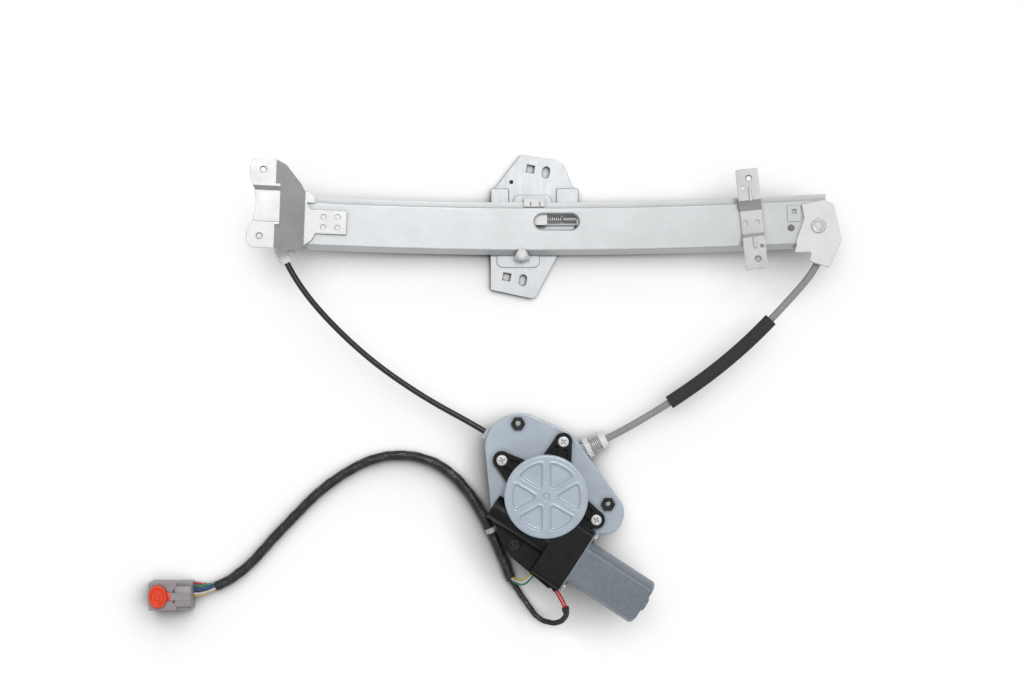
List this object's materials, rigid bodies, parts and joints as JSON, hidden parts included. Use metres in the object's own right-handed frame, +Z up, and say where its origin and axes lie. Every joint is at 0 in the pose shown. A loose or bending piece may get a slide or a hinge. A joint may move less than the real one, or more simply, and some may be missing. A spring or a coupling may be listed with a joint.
{
  "type": "cable window regulator with motor",
  "caption": "Power window regulator: bowed rail with a glass carrier on a cable loop, end pulleys, worm-geared cable drum with motor, conduits, adjuster and harness.",
  "frame": {"origin": "centre of the bounding box of the regulator without its harness, on the table plane under it", "axes": "+X along the rail towards the pulley housing, +Y from the motor towards the rail, +Z up, out of the rail's front face"},
  "size_m": [0.5595, 0.3823, 0.0557],
  "materials": {
    "galvanised_steel": "satin",
    "zinc_steel": "satin",
    "carrier_steel": "satin",
    "pin_steel": "satin",
    "cable_steel": "stranded",
    "white_nylon": "matte",
    "natural_acetal": "matte",
    "black_conduit": "matte",
    "grey_conduit": "matte",
    "sleeve_foam": "foam",
    "blue_grey_plastic": "satin",
    "black_plastic": "matte",
    "dark_insert": "blackened",
    "zinc_alloy": "matte",
    "core_steel": "matte",
    "copper": "satin",
    "bronze": "satin",
    "carbon": "matte",
    "can_steel": "zinc plated",
    "harness_black": "matte",
    "tie_white": "matte",
    "connector_grey": "matte",
    "clip_orange": "matte"
  },
  "bodies": {
    "frame": {"adjuster_body": "white_nylon", "adjuster_cap": "white_nylon", "adjuster_spring": "pin_steel", "brush_1": "carbon", "brush_2": "carbon", "brush_holder": "black_plastic", "cable_tie": "tie_white", "can_screw_1": "pin_steel", "can_screw_2": "pin_steel", "connector_body": "connector_grey", "connector_clip": "clip_orange", "connector_terminals": "bronze", "drum_cover": "blue_grey_plastic", "drum_housing": "blue_grey_plastic", "field_magnet_1": "core_steel", "field_magnet_2": "core_steel", "foam_sleeve": "sleeve_foam", "front_bush": "bronze", "gear_cover": "blue_grey_plastic", "gear_housing": "black_plastic", "harness_tail": "harness_black", "harness_tube": "harness_black", "housing_screw_1": "pin_steel", "housing_screw_2": "pin_steel", "housing_screw_3": "pin_steel", "left_bracket": "zinc_steel", "left_conduit": "black_conduit", "left_conduit_guide": "white_nylon", "left_drum_lead": "cable_steel", "left_pulley_pin": "pin_steel", "motor_can": "can_steel", "plate_insert_1": "dark_insert", "plate_insert_2": "dark_insert", "plate_insert_3": "dark_insert", "pulley_housing": "white_nylon", "rail": "galvanised_steel", "rail_wire": "cable_steel", "rear_bush": "bronze", "right_bracket": "zinc_steel", "right_conduit": "grey_conduit", "right_drum_lead": "cable_steel", "right_pulley_pin": "pin_steel", "sensor_leads": "harness_black"},
    "armature": {"armature_shaft": "pin_steel", "armature_core": "core_steel", "armature_winding": "copper", "commutator": "copper"},
    "drum": {"worm_wheel": "natural_acetal", "output_shaft": "pin_steel", "cable_drum": "natural_acetal", "wound_wire": "cable_steel"},
    "carrier": {"carrier_plate": "carrier_steel", "upper_shoe": "white_nylon", "lower_shoe": "white_nylon", "cable_anchor": "white_nylon", "anchor_spring": "pin_steel", "cable_nipple": "zinc_alloy"},
    "left_pulley_wheel": {"left_pulley": "natural_acetal"},
    "right_pulley_wheel": {"right_pulley": "natural_acetal"}
  },
  "joints": [
    {"name": "armature_spin", "type": "hinge", "parent": "frame", "child": "armature", "pos_m": [-0.01394, -0.11116, 0.03], "axis": [0.8387, -0.5446, 0], "range_deg": [-38500, 32600]},
    {"name": "drum_spin", "type": "hinge", "parent": "frame", "child": "drum", "pos_m": [0.0024, -0.086, 0], "axis": [0, 0, 1], "range_deg": [-447.58, 528.4]},
    {"name": "carrier_travel", "type": "hinge", "parent": "frame", "child": "carrier", "pos_m": [0, 0.44535, 1.19626], "axis": [0, -0.9659, 0.2588], "range_deg": [-6.56, 7.75]},
    {"name": "left_pulley_spin", "type": "hinge", "parent": "frame", "child": "left_pulley_wheel", "pos_m": [-0.20634, 0.12881, 0.02381], "axis": [0.1618, -0.0035, 0.9868], "range_deg": [-792.1, 670.86]},
    {"name": "right_pulley_spin", "type": "hinge", "parent": "frame", "child": "right_pulley_wheel", "pos_m": [0.22113, 0.12948, 0.02633], "axis": [-0.1734, -0.0041, 0.9848], "range_deg": [-792.1, 670.86]}
  ],
  "couplings": [
    {"joint": "drum_spin", "follows": "armature_spin", "ratio": -0.013699},
    {"joint": "carrier_travel", "follows": "armature_spin", "ratio": -0.00020068},
    {"joint": "left_pulley_spin", "follows": "armature_spin", "ratio": 0.020548},
    {"joint": "right_pulley_spin", "follows": "armature_spin", "ratio": 0.020548}
  ]
}
